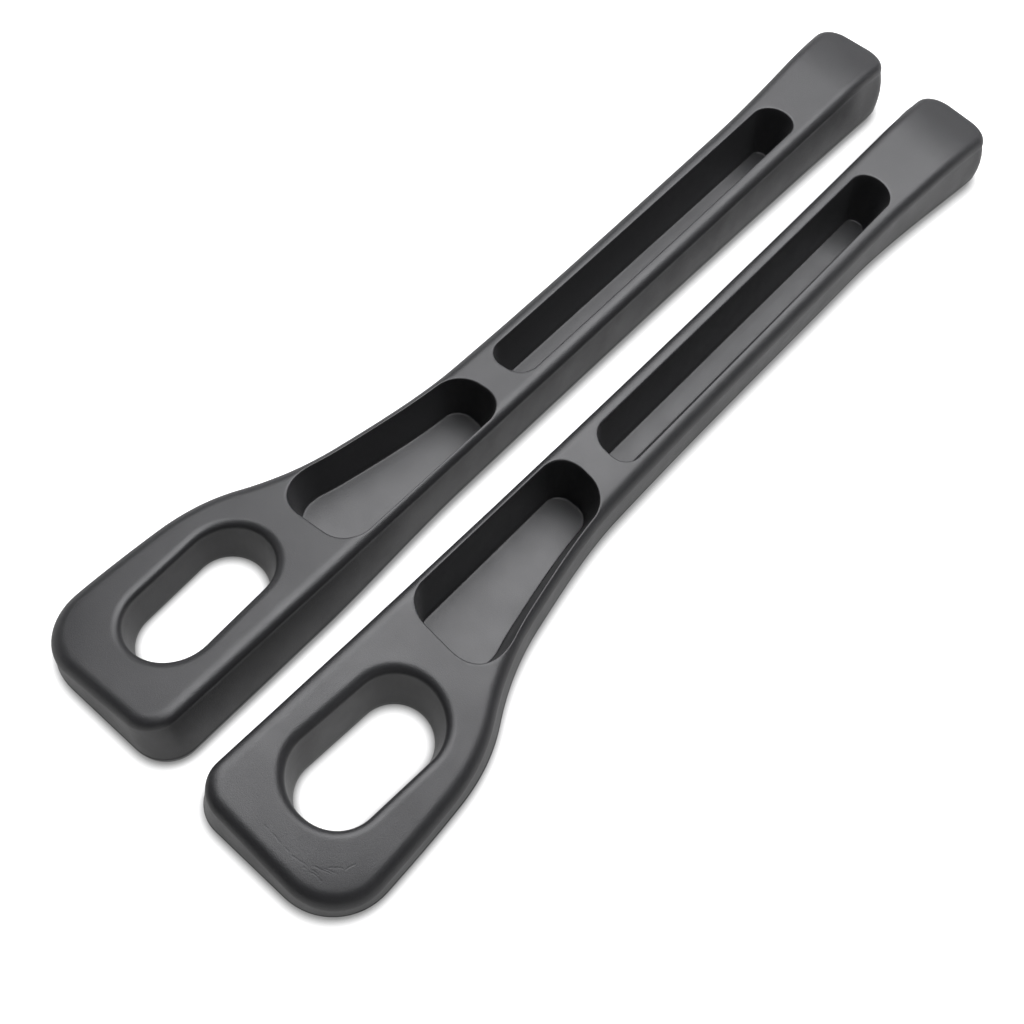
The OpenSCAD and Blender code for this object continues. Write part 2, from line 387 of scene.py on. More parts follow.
def in_millimetres(group):
    """The values of a settings group, with its lengths in millimetres."""
    values = {}
    for prop in group.bl_rna.properties:
        if prop.identifier in group.__annotations__:
            value = getattr(group, prop.identifier)
            values[prop.identifier] = value * MM_IN_M if prop.unit == "LENGTH" else value
    return SimpleNamespace(**values)


# ---------------------------------------------------------------- outlines of a bar


def smooth(stations, u):
    """The value at u of the cubic curves that join stations of (u, value, slope)."""
    s = np.asarray(stations, float)
    u = np.asarray(u, float)
    i = np.clip(np.searchsorted(s[:, 0], u, side="left") - 1, 0, len(s) - 2)
    a, b = s[i], s[i + 1]
    w = b[..., 0] - a[..., 0]
    t = (u - a[..., 0]) / w
    return (
        (1 + 2 * t) * (1 - t) ** 2 * a[..., 1]
        + t * (1 - t) ** 2 * w * a[..., 2]
        + t * t * (3 - 2 * t) * b[..., 1]
        - t * t * (1 - t) * w * b[..., 2]
    )


def corner_drop(r, d):
    """How far a corner of radius r draws a side in, at a distance d from the end."""
    return np.where(d >= r, 0, r - np.sqrt(np.maximum(0, r * r - (r - d) ** 2)))


def places(u0, u1, r0, r1, steps):
    """Places along a side from u0 to u1, close together round its corners."""
    turn = np.linspace(0, np.pi / 2, CORNER_STEPS + 1)
    middle = np.linspace(u0 + r0, u1 - r1, steps + 1)[1:-1]
    return np.concatenate([u0 + r0 * (1 - np.cos(turn)), middle, u1 - r1 * (1 - np.sin(turn))])


def ring(u0, u1, near, far, radii, steps):
    """A closed outline between two curves: to the tail along the straight side, then back."""
    u = places(u0, u1, radii[0], radii[1], steps)
    out = near(u) + corner_drop(radii[0], u - u0) + corner_drop(radii[1], u1 - u)
    back = places(u0, u1, radii[3], radii[2], steps)[::-1]
    home = far(back) - corner_drop(radii[3], back - u0) - corner_drop(radii[2], u1 - back)
    return np.concatenate([np.column_stack([u, out]), np.column_stack([back, home])])


def less(radii, d):
    """The radii of an outline moved in by d."""
    return [max(LEAST_R, r - d) for r in radii]


class Outlines:
    """The outlines of one bar, all in millimetres."""

    def __init__(self, bar, openings):
        self.bar = bar
        self.openings = openings
        drop = bar.head_w - bar.body_w
        run = bar.body_u - bar.waist_u
        past_u = bar.waist_u + PAST_WAIST_RUN * run
        past_v = bar.body_w + PAST_WAIST_SHARE * drop
        self.flare = [
            (0, bar.head_w, 0),
            (bar.head_len, bar.head_w - SHOULDER_FALL, SHOULDER_SLOPE),
            (bar.waist_u, bar.body_w + WAIST_SHARE * drop, WAIST_SLOPE * drop / run),
            (past_u, past_v, PAST_WAIST_SLOPE * drop / run),
            (bar.body_u, bar.body_w, BODY_SLOPE),
            (bar.tail_u, bar.body_w, 0),
            (bar.length, bar.tail_w, TAIL_SLOPE),
        ]
        self.straight_foot = [
            (0, bar.head_spread, 0),
            (bar.head_len + FOOT_PAST_HEAD, bar.head_spread, 0),
            (bar.body_u - FOOT_SHORT_OF_BODY, bar.body_spread, 0),
            (bar.length, bar.tail_spread, STRAIGHT_FOOT_SLOPE),
        ]
        self.flared_foot = [
            (0, bar.flare_spread, 0),
            (bar.tail_u, bar.flare_spread, 0),
            (bar.length, bar.flare_tail_spread, FLARED_FOOT_SLOPE),
        ]

    def flare_in(self, u, d):
        """The flared side moved in by d, square to its own line."""
        rise = smooth(self.flare, u + 0.5) - smooth(self.flare, u - 0.5)
        return smooth(self.flare, u) - d * np.hypot(1, rise)

    def top(self, d):
        """The outline of the top, moved in by d."""
        bar = self.bar
        return ring(
            bar.head_end_spread + d,
            bar.length - bar.tail_end_spread - d,
            lambda u: d + bar.straight_bow * (1 - (2 * u / bar.length - 1) ** 2),
            lambda u: self.flare_in(u, d),
            less((bar.head_r, bar.tail_r, bar.tail_flare_r, bar.head_flare_r), d),
            BAR_STEPS,
        )

    def foot(self, d):
        """The outline of the parting line, moved in by d."""
        bar = self.bar
        return ring(
            d,
            bar.length - d,
            lambda u: d - smooth(self.straight_foot, u),
            lambda u: self.flare_in(u - bar.foot_lag, d) + smooth(self.flared_foot, u),
            less((bar.foot_head_r, bar.foot_tail_r, bar.foot_tail_flare_r, bar.foot_flare_r), d),
            BAR_STEPS,
        )

    def swollen(self, outline, amount):
        """An outline moved out by an amount round the tail end."""
        step = np.roll(outline, -1, axis=0) - np.roll(outline, 1, axis=0)
        out = np.column_stack([step[:, 1], -step[:, 0]]) / np.linalg.norm(step, axis=1)[:, None]
        start = self.bar.length - self.bar.swell_len
        near = np.clip((outline[:, 0] - start) / SWELL_RUN, 0, 1)
        near = near * near * (3 - 2 * near)
        return outline + amount * near[:, None] * out

    def hole(self, r):
        """The outline of the buckle hole, with round ends of radius r."""
        o = self.openings
        turn = np.linspace(0, np.pi, 2 * CORNER_STEPS + 1)
        side = np.linspace(-1, 1, HOLE_STEPS + 1)[1:-1] * o.hole_flat / 2
        head = np.column_stack([-o.hole_flat / 2 - r * np.sin(turn), r * np.cos(turn)])
        near = np.column_stack([side, 0 * side - r])
        points = np.concatenate([head, near, -head, -near])
        c, s = np.cos(o.hole_turn), np.sin(o.hole_turn)
        return points @ np.array([[c, s], [-s, c]]) + (o.hole_u, o.hole_v)

    def pocket(self, d, tail_d):
        """The outline of the tapered pocket, moved in by d, and by tail_d at its tail end."""
        o = self.openings
        return ring(
            o.pocket_u + d,
            o.pocket_u + o.pocket_len - tail_d,
            lambda u: o.pocket_wall + d + 0 * u,
            lambda u: self.flare_in(u, o.pocket_flare_wall + d),
            less((o.pocket_r, o.pocket_r, o.pocket_r, o.pocket_flare_r), d),
            int(o.pocket_len / OPENING_STEP),
        )

    def slot(self, d, tail_d):
        """The outline of the long slot, moved in by d, and by tail_d at its tail end."""
        o = self.openings
        start = o.pocket_u + o.pocket_len + o.bridge_w
        round_r = o.slot_w / 2 - SLOT_END_FLAT
        return ring(
            start + d,
            start + o.slot_len - tail_d,
            lambda u: o.slot_wall + d + 0 * u,
            lambda u: o.slot_wall + o.slot_w - d + 0 * u,
            less((o.slot_r, round_r, round_r, o.slot_r), d),
            int(o.slot_len / OPENING_STEP),
        )


# ---------------------------------------------------------------- skin of a bar


def distance_to(points, outline):
    """Distance of each point from a closed outline."""
    best = np.full(len(points), np.inf)
    for a, b in zip(outline, np.roll(outline, -1, axis=0)):
        step = b - a
        size = step @ step
        if size > 0:
            share = np.clip((points - a) @ step / size, 0, 1)
            best = np.minimum(best, np.linalg.norm(points - a - share[:, None] * step, axis=1))
    return best


def inside(points, outline):
    """Which points lie inside a closed outline."""
    x, y = points[:, 0], points[:, 1]
    odd = np.zeros(len(points), bool)
    for (ax, ay), (bx, by) in zip(outline, np.roll(outline, -1, axis=0)):
        if ay != by:
            odd ^= ((ay > y) != (by > y)) & (x < (bx - ax) * (y - ay) / (by - ay) + ax)
    return odd


def thinned(points, spacing):
    """The points without any that lies closer than spacing to one before it."""
    cells = {}
    kept = []
    for p in points:
        cell = (int(p[0] // spacing), int(p[1] // spacing))
        near = (
            q
            for i in (-1, 0, 1)
            for j in (-1, 0, 1)
            for q in cells.get((cell[0] + i, cell[1] + j), ())
        )
        if all(np.hypot(*(p - q)) >= spacing for q in near):
            cells.setdefault(cell, []).append(p)
            kept.append(p)
    return np.array(kept).reshape(-1, 2)


class Skin:
    """The closed skin of a bar as it grows: its points, their lift and its faces.

    A point's height is its own z plus its lift times the height of the top above it.
    """

    def __init__(self):
        self.points = []
        self.faces = []
        self.count = 0

    def add(self, outline, z, lift):
        """Adds points at z and gives their numbers."""
        n = len(outline)
        self.points.append(np.column_stack([outline, np.full(n, 0.0) + z, np.full(n, 0.0) + lift]))
        self.count += n
        return np.arange(self.count - n, self.count)

    def wall(self, rings, facing_in=False):
        """Joins rings of equally many points, each to the next, from the lowest up."""
        for low, high in zip(rings, rings[1:]):
            quads = np.column_stack([low, np.roll(low, -1), np.roll(high, -1), high])
            self.faces.extend((quads[:, ::-1] if facing_in else quads).tolist())

    def strip(self, numbers):
        """Closes a ring whose two sides lie opposite each other."""
        n = len(numbers)
        for i in range(n // 2 - 1):
            self.faces.append([int(numbers[k]) for k in (i, i + 1, n - 2 - i, n - 1 - i)])

    def sheet(self, border, holes, extra, z, lift, facing_down=False):
        """Fills the area between a border and its holes, through extra points."""
        borders = [border, *holes]
        numbers = np.concatenate(borders)
        every = np.concatenate(self.points)
        edge_points = every[numbers, :2]
        new = self.add(extra, z, lift) if len(extra) else np.array([], int)
        points = np.concatenate([edge_points, extra]) if len(extra) else edge_points
        numbers = np.concatenate([numbers, new])
        edges, start = [], 0
        for b in borders:
            edges += [(start + i, start + (i + 1) % len(b)) for i in range(len(b))]
            start += len(b)
        _, _, triangles, origins, _, _ = delaunay_2d_cdt(
            [tuple(p) for p in points], edges, [], 0, SAME_POINT, True
        )
        source = np.array([o[0] for o in origins])
        corners = source[np.array(triangles)]
        middles = points[corners].mean(axis=1)
        kept = inside(middles, every[border, :2])
        for hole in holes:
            kept &= ~inside(middles, every[hole, :2])
        corners = corners[kept, ::-1] if facing_down else corners[kept]
        self.faces.extend(numbers[corners].tolist())


def along(outline, spacing):
    """Points spread evenly along a closed outline."""
    closed = np.concatenate([outline, outline[:1]])
    run = np.concatenate([[0], np.cumsum(np.linalg.norm(np.diff(closed, axis=0), axis=1))])
    at = np.linspace(0, run[-1], int(run[-1] / spacing), endpoint=False)
    return np.column_stack([np.interp(at, run, closed[:, k]) for k in (0, 1)])


def quarter(steps):
    """Angles of a quarter turn in so many steps."""
    return np.radians(np.linspace(0, 90, steps + 1))


def outer_wall(skin, shape):
    """The outer wall, from the underside over the parting ridge to the rounded edge."""
    bar, foot = shape.bar, shape.foot
    ridge = [(-bar.flash, -RIDGE_HALF_HEIGHT), (-bar.flash, RIDGE_HALF_HEIGHT)]
    rings = [skin.add(foot(bar.under_cut + inset), z, 0) for inset, z in BOTTOM_RINGS]
    for inset, up in (*BELOW_RIDGE, *ridge, ABOVE_RIDGE):
        rings.append(skin.add(foot(inset), bar.parting_z + up, 0))
    low, high = foot(0), shape.top(0)
    for share in WALL_SHARES:
        z = (1 - share) * bar.parting_z - share * bar.edge_r
        swell = bar.tail_swell * 4 * share * (1 - share)
        rings.append(skin.add(shape.swollen((1 - share) * low + share * high, swell), z, share))
    for a in quarter(EDGE_TURN)[:EDGE_RINGS]:
        d = bar.edge_r * (1 - np.cos(a))
        rings.append(skin.add(shape.top(d), -bar.edge_r * (1 - np.sin(a)), 1))
    skin.wall(rings)
    return rings[0], rings[-1]


def hole_wall(skin, shape):
    """The wall of the buckle hole, from the underside up to its rounded top edge."""
    o = shape.openings
    rings = [skin.add(shape.hole(o.hole_r + more), z, 0) for more, z in HOLE_BOTTOM_RINGS]
    foot_z = HOLE_BOTTOM_RINGS[-1][1]
    for share in HOLE_SHARES:
        z = (1 - share) * foot_z - share * o.hole_edge_r
        rings.append(skin.add(shape.hole(o.hole_r + share * o.hole_draft), z, share))
    for a in quarter(HOLE_TURN):
        r = o.hole_r + o.hole_draft + o.hole_edge_r * (1 - np.cos(a))
        rings.append(skin.add(shape.hole(r), -o.hole_edge_r * (1 - np.sin(a)), 1))
    skin.wall(rings, facing_in=True)
    return rings[0], rings[-1]


def blind_wall(skin, o, outline, draft, edge_drop):
    """The floor and walls of a blind opening, up to its eased rim, whose ring is given."""
    margin = o.floor_r + FLOOR_MARGIN
    rings = [skin.add(outline(draft + margin, o.tail_draft + margin), o.floor_t, 0)]
    skin.strip(rings[0])
    for a in quarter(FLOOR_TURN):
        d = o.floor_r * (1 - np.sin(a))
        z = o.floor_t + o.floor_r * (1 - np.cos(a))
        rings.append(skin.add(outline(draft + d, o.tail_draft + d), z, 0))
    low, high = outline(draft, o.tail_draft), outline(0, 0)
    for share in OPENING_SHARES:
        z = (1 - share) * (o.floor_t + o.floor_r) - share * o.rim_r
        rings.append(skin.add((1 - share) * low + share * high, z, share))
    for a in quarter(RIM_TURN):
        eased = -o.rim_r * (1 - np.cos(a))
        points = outline(eased, eased)
        rings.append(skin.add(points, -o.rim_r * (1 - np.sin(a)) - edge_drop(points), 1))
    skin.wall(rings, facing_in=True)
    return rings[-1]


def top_points(shape, border, edges):
    """Points for the top between its border and its openings, closest together beside them."""
    bar, o = shape.bar, shape.openings
    r = o.hole_r + o.hole_draft + o.hole_edge_r
    rows = [shape.top(d) for d in EDGE_ROWS]
    rows += [shape.hole(r + d) for d in HOLE_ROWS]
    for outline in (shape.pocket, shape.slot):
        rows += [outline(-o.rim_r - d, -o.rim_r - d) for d in RIM_ROWS]
    points = [along(row, ROW_STEP) for row in rows]
    grid = np.meshgrid(np.arange(2, bar.length, TOP_STEP), np.arange(2, bar.head_w, TOP_STEP))
    points = np.concatenate([*points, np.column_stack([g.ravel() for g in grid])])
    points = points[inside(points, border) & (distance_to(points, border) > EDGE_CLEARANCE)]
    for edge in edges:
        clear = ~inside(points, edge) & (distance_to(points, edge) > EDGE_CLEARANCE)
        points = points[clear]
    return thinned(points, LEAST_STEP)


def bar_skin(bar, openings):
    """The closed skin of one bar, in its own coordinates."""
    shape = Outlines(bar, openings)
    skin = Skin()
    outside = shape.top(0)

    def edge_drop(points):
        """How far the rounded top edge lies below the top at each point."""
        left = np.maximum(0, bar.edge_r - distance_to(points, outside))
        return bar.edge_r - np.sqrt(np.maximum(0, bar.edge_r**2 - left**2))

    foot, border = outer_wall(skin, shape)
    hole_foot, hole_rim = hole_wall(skin, shape)
    pocket_rim = blind_wall(skin, openings, shape.pocket, openings.pocket_draft, edge_drop)
    slot_rim = blind_wall(skin, openings, shape.slot, openings.slot_draft, edge_drop)
    rims = [hole_rim, pocket_rim, slot_rim]
    every = np.concatenate(skin.points)
    extra = top_points(shape, every[border, :2], [every[rim, :2] for rim in rims])
    skin.sheet(border, rims, extra, -edge_drop(extra), 1)
    skin.sheet(foot, [hole_foot], np.zeros((0, 2)), 0, 0, facing_down=True)
    return np.concatenate(skin.points), skin.faces


# ---------------------------------------------------------------- node trees


class Tree:
    """A short way to write a node tree: makes nodes, sets their values and links them."""

    def __init__(self, tree):
        self.nodes = tree.nodes
        self.links = tree.links

    def put(self, socket, value):
        """Links a socket to an input, or writes a value on it."""
        if isinstance(value, bpy.types.NodeSocket):
            self.links.new(value, socket)
        else:
            socket.default_value = value

    def node(self, kind, inputs=(), **settings):
        """A node of a kind, with its inputs by name or number."""
        node = self.nodes.new(kind)
        for name, value in settings.items():
            setattr(node, name, value)
        for key, value in dict(inputs).items():
            self.put(node.inputs[key], value)
        return node

    def math(self, operation, *values):
        """The result of a sum."""
        return self.node("ShaderNodeMath", enumerate(values), operation=operation).outputs[0]

    def product(self, first, *others):
        """The product of several numbers."""
        for value in others:
            first = self.math("MULTIPLY", first, value)
        return first

    def vector(self, operation, first, second):
        """The vector that a sum of two vectors gives."""
        values = {0: first, 1: second}
        return self.node("ShaderNodeVectorMath", values, operation=operation).outputs[0]

    def number(self, operation, first, second):
        """The number that a sum of two vectors gives."""
        values = {0: first, 1: second}
        return self.node("ShaderNodeVectorMath", values, operation=operation).outputs[1]

    def scaled(self, vector, scale):
        """A vector times a number."""
        values = {0: vector, "Scale": scale}
        return self.node("ShaderNodeVectorMath", values, operation="SCALE").outputs[0]

    def joined(self, x=0.0, y=0.0, z=0.0):
        """A vector of three numbers."""
        return self.node("ShaderNodeCombineXYZ", {0: x, 1: y, 2: z}).outputs[0]

    def noise(self, place, scale, detail, roughness):
        """The number and the colour of a noise."""
        values = {"Vector": place, "Scale": scale, "Detail": detail, "Roughness": roughness}
        return self.node("ShaderNodeTexNoise", values).outputs

    def ranged(self, value, low, high, to_low=0.0, to_high=1.0, **settings):
        """A value moved from one range to another, and held inside it."""
        values = {0: value, 1: low, 2: high, 3: to_low, 4: to_high}
        return self.node("ShaderNodeMapRange", values, **settings).outputs[0]

    def mixed(self, share, first, second):
        """A colour between two others."""
        values = {0: share, 6: first, 7: second}
        return self.node("ShaderNodeMix", values, data_type="RGBA").outputs[2]


# Spacing of the nodes in a tree.
COLUMN_WIDTH, ROW_HEIGHT = 220, 190


def arranged(tree):
    """Sets the nodes of a tree out in columns, so that it can be read."""
    depth = {}

    def column(node):
        if node.name not in depth:
            depth[node.name] = 0
            ahead = [link.to_node for out in node.outputs for link in out.links]
            depth[node.name] = 1 + max((column(n) for n in ahead), default=-1)
        return depth[node.name]

    rows = {}
    for node in tree.nodes:
        c = column(node)
        rows[c] = rows.get(c, 0) + 1
        node.location = (-COLUMN_WIDTH * c, -ROW_HEIGHT * rows[c])


# The inputs of the skin's tree that follow a setting: the settings group and the setting.
SKIN_INPUTS = {
    "Length": ("gap_filler_bar", "length"),
    "Height": ("gap_filler_bar", "height"),
    "End rise": ("gap_filler_bar", "end_rise"),
    "Top fall": ("gap_filler_bar", "top_fall"),
    "Fall twist": ("gap_filler_bar", "fall_twist"),
    "Tail droop": ("gap_filler_bar", "tail_droop"),
    "Corner fall": ("gap_filler_bar", "corner_fall"),
    "Corner start": ("gap_filler_bar", "corner_start"),
    "Corner reach": ("gap_filler_bar", "corner_reach"),
    "Droop length": ("gap_filler_bar", "droop_len"),
    "Tail end spread": ("gap_filler_bar", "tail_end_spread"),
    "Unevenness": ("gap_filler_foam", "unevenness"),
    "Wave size": ("gap_filler_foam", "wave_size"),
    "Gap": ("gap_filler_layout", "gap"),
    "Turn": ("gap_filler_layout", "turn"),
    "Stagger": ("gap_filler_layout", "shift"),
}


def raised_skin(t, given, place):
    """The flat skin raised to the rule of the top.

    The top rises to both ends, falls to the flared side, droops at the tail and sags a little at
    the head's flared corner.
    """
    m = t.math
    u, v, z = t.node("ShaderNodeSeparateXYZ", {0: place}).outputs
    w = m("SUBTRACT", m("DIVIDE", t.product(u, 2.0), given["Length"]), 1.0)
    to_end = m("SUBTRACT", m("SUBTRACT", given["Length"], given["Tail end spread"]), u)
    tail = m("MAXIMUM", 0.0, m("SUBTRACT", 1.0, m("DIVIDE", to_end, given["Droop length"])))
    rise = t.product(given["End rise"], w, w)
    fall = t.product(m("SUBTRACT", given["Top fall"], t.product(given["Fall twist"], w)), v)
    droop = t.product(given["Tail droop"], tail, tail)
    past = m("SUBTRACT", m("SUBTRACT", v, u), given["Corner start"])
    corner = m("MAXIMUM", 0.0, m("DIVIDE", past, given["Corner reach"]))
    lower = m("ADD", droop, t.product(given["Corner fall"], corner, corner))
    top = m("SUBTRACT", m("SUBTRACT", m("ADD", given["Height"], rise), fall), lower)
    lift = t.node("GeometryNodeInputNamedAttribute", {"Name": "lift"}, data_type="FLOAT")
    raised = t.joined(u, v, m("ADD", z, t.product(top, lift.outputs[0])))
    return t.node(
        "GeometryNodeSetPosition", {"Geometry": given["Geometry"], "Position": raised}
    ).outputs[0]


def waved_skin(t, given, place, skin):
    """The skin with slow waves in it, which leave the underside flat."""
    waves = t.node(
        "ShaderNodeTexNoise",
        {
            "Vector": place,
            "W": given["Seed"],
            "Scale": t.math("DIVIDE", 1.0, given["Wave size"]),
            "Detail": 1.0,
        },
        noise_dimensions="4D",
    ).outputs[0]
    high = t.node("ShaderNodeSeparateXYZ", {0: place}).outputs[2]
    off_floor = t.ranged(high, WAVES_FROM, WAVES_FULL, 0.0, 2.0)
    push = t.product(t.math("SUBTRACT", waves, 0.5), given["Unevenness"], off_floor)
    normal = t.node("GeometryNodeInputNormal").outputs[0]
    return t.node(
        "GeometryNodeSetPosition", {"Geometry": skin, "Offset": t.scaled(normal, push)}
    ).outputs[0]


def laid_skin(t, given, skin):
    """The skin centred on its length, turned, moved off the middle line, then mirrored."""

    def moved(geometry, **inputs):
        return t.node("GeometryNodeTransform", {"Geometry": geometry, **inputs}).outputs[0]

    turn = t.node("FunctionNodeEulerToRotation", {0: t.joined(z=given["Turn"])}).outputs[0]
    ahead = t.product(given["Stagger"], given["Side"], 0.5)
    aside = t.joined(ahead, t.product(given["Gap"], 0.5))
    centred = moved(skin, Translation=t.joined(t.product(given["Length"], -0.5)))
    laid = moved(centred, Translation=aside, Rotation=turn)
    sided = moved(laid, Scale=t.joined(1.0, given["Side"], 1.0))
    flipped = t.node("GeometryNodeFlipFaces", {"Mesh": sided}).outputs[0]
    return t.node(
        "GeometryNodeSwitch",
        {"Switch": t.math("LESS_THAN", given["Side"], 0.0), "False": sided, "True": flipped},
        input_type="GEOMETRY",
    ).outputs[0]


def skin_tree():
    """The tree that raises a flat skin to the rule of the top and lays the bar in its place."""
    group = bpy.data.node_groups.new("bar_skin", "GeometryNodeTree")
    face = group.interface
    face.new_socket("Geometry", in_out="INPUT", socket_type="NodeSocketGeometry")
    for name in (*SKIN_INPUTS, "Side", "Seed"):
        face.new_socket(name, in_out="INPUT", socket_type="NodeSocketFloat")
    face.new_socket("Material", in_out="INPUT", socket_type="NodeSocketMaterial")
    face.new_socket("Geometry", in_out="OUTPUT", socket_type="NodeSocketGeometry")
    t = Tree(group)
    given = t.node("NodeGroupInput").outputs
    place = t.node("GeometryNodeInputPosition").outputs[0]
    skin = laid_skin(t, given, waved_skin(t, given, place, raised_skin(t, given, place)))
    plain = t.node("GeometryNodeRemoveAttribute", {"Geometry": skin, "Name": "lift"})
    real = t.node("GeometryNodeRealizeInstances", {0: plain.outputs[0]})
    dressed = t.node(
        "GeometryNodeSetMaterial", {"Geometry": real.outputs[0], "Material": given["Material"]}
    )
    t.node("NodeGroupOutput", {0: dressed.outputs[0]})
    arranged(group)
    return group


def set_input(modifier, name, value):
    """Sets a named input of a nodes modifier, by its socket's identifier."""
    for item in modifier.node_group.interface.items_tree:
        if item.in_out == "INPUT" and item.name == name:
            modifier[item.identifier] = value
            return
    raise RuntimeError(f"the tree has no input called {name}")


# ---------------------------------------------------------------- materials


def new_material(name):
    """An empty material and its node writer."""
    material = bpy.data.materials.new(name)
    material.use_nodes = True
    material.node_tree.nodes.clear()
    return material, Tree(material.node_tree)


def crease_depth(t, here):
    """How deep the faint creases in the right bar's head are, from 0 beside them to 1."""
    about = t.vector("SUBTRACT", t.noise(here, *WANDER)[1], (0.5, 0.5, 0.5))
    wander = t.scaled(about, CREASE_WANDER)
    flat = t.vector("ADD", t.vector("MULTIPLY", here, (1.0, 1.0, 0.0)), wander)
    deepest = 0.0
    for start, end in CREASES:
        line = Vector((*end, 0)) - Vector((*start, 0))
        reach = t.vector("SUBTRACT", flat, (*start, 0.0))
        share = t.number("DOT_PRODUCT", reach, tuple(line / line.length_squared))
        nearest = t.scaled(tuple(line), t.node("ShaderNodeClamp", {0: share}).outputs[0])
        away = t.number("DISTANCE", reach, nearest)
        depth = t.ranged(away, 0.0, CREASE_WIDTH, 1.0, 0.0, interpolation_type="SMOOTHSTEP")
        deepest = t.math("MAXIMUM", deepest, depth)
    return deepest


def foam_material(finish):
    """Satin skin of closed-cell foam: fine grain, slightly uneven gloss and a few creases."""
    material, t = new_material("moulded_foam_skin")
    here = t.node("ShaderNodeTexCoord").outputs["Object"]
    fine = t.noise(here, 1 / finish.grain, *GRAIN)[0]
    tone = t.ranged(t.math("ADD", t.noise(here, *CLOUD)[0], fine), *TONE_SPAN)
    colour = t.mixed(tone, (*finish.colour, 1), (*finish.worn_colour, 1))
    gloss = t.ranged(t.noise(here, *GLOSS)[0], *GLOSS_SPAN, *ROUGHNESS)
    grain = t.node(
        "ShaderNodeBump", {"Strength": GRAIN_STRENGTH, "Distance": DENT_DEPTH, "Height": fine}
    )
    creased = t.node(
        "ShaderNodeBump",
        {
            "Strength": CREASE_STRENGTH,
            "Distance": DENT_DEPTH,
            "Height": crease_depth(t, here),
            "Normal": grain.outputs[0],
        },
        invert=True,
    )
    skin = t.node(
        "ShaderNodeBsdfPrincipled",
        {
            "Base Color": colour,
            "Roughness": gloss,
            "Specular IOR Level": SPECULAR_LEVEL,
            "Normal": creased.outputs[0],
        },
    )
    t.node("ShaderNodeOutputMaterial", {0: skin.outputs[0]})
    arranged(material.node_tree)
    return material


def seen_straight(t):
    """Whether the camera sees a point straight, or through something clear."""
    path = t.node("ShaderNodeLightPath").outputs
    return t.math("MAXIMUM", path["Is Camera Ray"], path["Is Transmission Ray"])


def floor_material(studio):
    """A pale floor that looks white where no shadow falls on it, with a painted shadow round the
    feet.
    """
    material, t = new_material("studio_floor")
    glossy = t.node("ShaderNodeLightPath").outputs["Is Glossy Ray"]
    seen = seen_straight(t)
    grey = (MIRRORED_GREY, MIRRORED_GREY, MIRRORED_GREY, 1)
    # To glossy rays the floor shows a dimmer grey: part of the painted reflection in the foam.
    mirrored = t.mixed(glossy, (*studio.floor_colour, 1), grey)

    # To the camera the floor darkens close round the feet, as white paper does under foam: a
    # painted shadow, set by how much open sky each point sees.
    here = t.node("ShaderNodeTexCoord").outputs["Object"]
    along_bars = t.node("ShaderNodeSeparateXYZ", {0: here}).outputs[0]
    reaches = (studio.shadow_reach, studio.tail_shadow_reach)
    reach = t.ranged(along_bars, CAD_BOX[0][0], CAD_BOX[1][0], *reaches)
    painted_contact_shadow = t.node("ShaderNodeAmbientOcclusion", {"Distance": reach}, samples=SHADOW_RAYS)
    # light holds the painted shadow: SHADOW_LEVEL at a share SHADOW_SKY of open sky, full where
    # all is open.
    light = t.ranged(painted_contact_shadow.outputs["AO"], SHADOW_SKY, 1.0, SHADOW_LEVEL, 1.0)
    level = t.product(light, studio.backdrop_level)
    paper = t.node("ShaderNodeCombineColor", {0: level, 1: level, 2: level}).outputs[0]
    matt = t.node("ShaderNodeBsdfDiffuse", {"Color": t.mixed(seen, mirrored, paper)})
    # The painted shadow dims the glow that the camera sees as well as the floor's pale colour.
    seen_glow = t.product(seen, light, studio.backdrop_glow)
    # Glossy rays see the floor glow though it is no lamp: a painted reflection in the foam's
    # gloss.
    strength = t.math("ADD", seen_glow, t.product(glossy, studio.mirrored_glow))
    glow = t.node("ShaderNodeEmission", {"Strength": strength})
    both = t.node("ShaderNodeAddShader", {0: matt.outputs[0], 1: glow.outputs[0]})
    t.node("ShaderNodeOutputMaterial", {0: both.outputs[0]})
    arranged(material.node_tree)
    return material


def studio_world(studio):
    """A world that is dim to the foam and white to the camera."""
    world = bpy.data.worlds.new("studio_world")
    world.use_nodes = True
    world.node_tree.nodes.clear()
    t = Tree(world.node_tree)
    white = (1, 1, 1, 1)
    dim = t.node("ShaderNodeBackground", {"Color": white, "Strength": studio.fill_level})
    bright = t.node("ShaderNodeBackground", {"Color": white, "Strength": 1.0})
    sky = t.node(
        "ShaderNodeMixShader", {0: seen_straight(t), 1: dim.outputs[0], 2: bright.outputs[0]}
    )
    t.node("ShaderNodeOutputWorld", {0: sky.outputs[0]})
    arranged(world.node_tree)
    return world


# ---------------------------------------------------------------- operators


def new_object(name, data):
    """An object in the scene."""
    thing = bpy.data.objects.new(name, data)
    bpy.context.scene.collection.objects.link(thing)
    return thing


